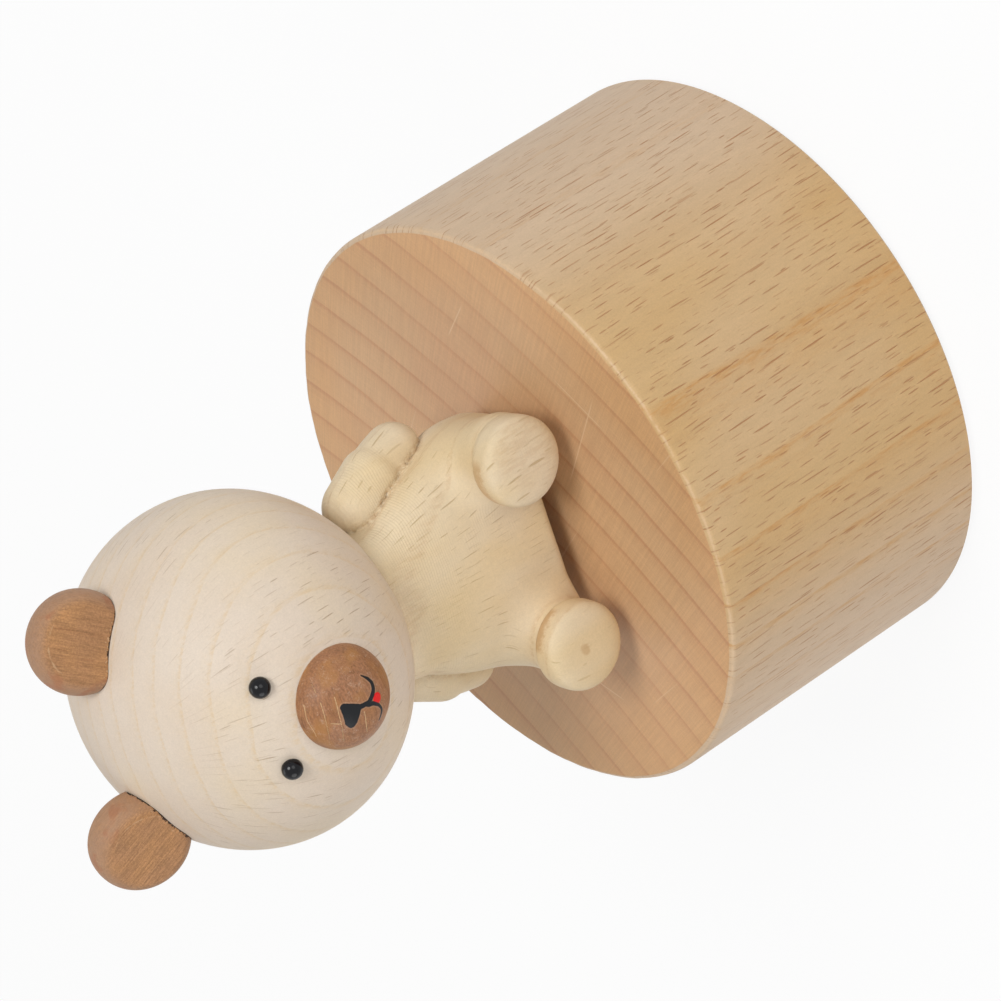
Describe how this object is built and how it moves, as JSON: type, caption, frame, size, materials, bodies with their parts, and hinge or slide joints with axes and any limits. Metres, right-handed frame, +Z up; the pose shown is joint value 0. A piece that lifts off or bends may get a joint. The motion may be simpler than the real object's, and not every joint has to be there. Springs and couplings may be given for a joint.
{
  "type": "wooden music box",
  "caption": "Round beech music box with a seated bear that winds the movement and turns while the tune plays.",
  "frame": {"origin": "centre of the underside, on the case's axis", "axes": "+Z up along the case's axis, the bear faces -Y, the bear's left is +X"},
  "size_m": [0.07, 0.07, 0.1011],
  "materials": {
    "beech": "sanded beech, unvarnished, flecked side and end-grain top",
    "ply": "bare birch plywood",
    "cream": "pale sanded beech, thin matt oil",
    "body": "pale carved beech, matt",
    "brown": "brown heartwood, lightly oiled",
    "dowel": "plain glued dowel",
    "bead": "glossy black bead",
    "felt": "pressed felt",
    "zinc": null,
    "steel": "bright steel",
    "brass": "plain brass",
    "nylon": "moulded nylon"
  },
  "bodies": {
    "base": {"base_drum": "beech", "bottom_cover": "ply", "felt_pad": "felt", "cover_screw_1": "steel", "cover_screw_2": "steel", "cover_screw_3": "steel", "bedplate": "zinc", "movement_screw_1": "steel", "movement_screw_2": "steel", "movement_screw_3": "steel", "arbor_bush": "brass", "spring_housing": "steel", "housing_screw_1": "steel", "housing_screw_2": "steel", "housing_screw_3": "steel", "mainspring": "steel", "comb": "steel", "comb_screw_1": "steel", "comb_screw_2": "steel", "governor_frame": "brass", "governor_screw": "steel"},
    "figure": {"winding_arbor": "steel", "retaining_ring": "steel", "great_wheel": "brass", "clutch_spring": "steel", "drive_insert": "brass", "bear_body": "body", "neck_dowel": "dowel", "bear_head": "cream", "ear_left": "brown", "ear_right": "brown", "ear_dowel_left": "dowel", "ear_dowel_right": "dowel", "muzzle": "brown", "muzzle_dowel": "dowel", "eye_left": "bead", "eye_right": "bead"},
    "cylinder": {"cylinder_axle": "steel", "cylinder_pinion": "steel", "music_cylinder": "brass", "cylinder_end_gear": "brass"},
    "governor_wheel": {"governor_shaft": "steel", "governor_pinion": "steel", "worm_wheel": "nylon"},
    "worm": {"worm_shaft": "steel", "governor_fan": "brass"}
  },
  "joints": [
    {"name": "bear_turn", "type": "hinge", "parent": "base", "child": "figure", "pos_m": [0, 0, 0.0389], "axis": [0, 0, 1], "continuous": true},
    {"name": "cylinder_spin", "type": "hinge", "parent": "base", "child": "cylinder", "pos_m": [0, 0, 0.01859], "axis": [1, 0, 0], "continuous": true},
    {"name": "governor_wheel_spin", "type": "hinge", "parent": "base", "child": "governor_wheel", "pos_m": [0, 0.0092, 0.01859], "axis": [1, 0, 0], "continuous": true},
    {"name": "worm_spin", "type": "hinge", "parent": "base", "child": "worm", "pos_m": [0.01896, 0.0139, 0.01859], "axis": [0, 0, 1], "continuous": true}
  ],
  "couplings": [
    {"joint": "cylinder_spin", "follows": "bear_turn", "ratio": -4},
    {"joint": "governor_wheel_spin", "follows": "bear_turn", "ratio": 14.4},
    {"joint": "worm_spin", "follows": "bear_turn", "ratio": -316.8}
  ]
}
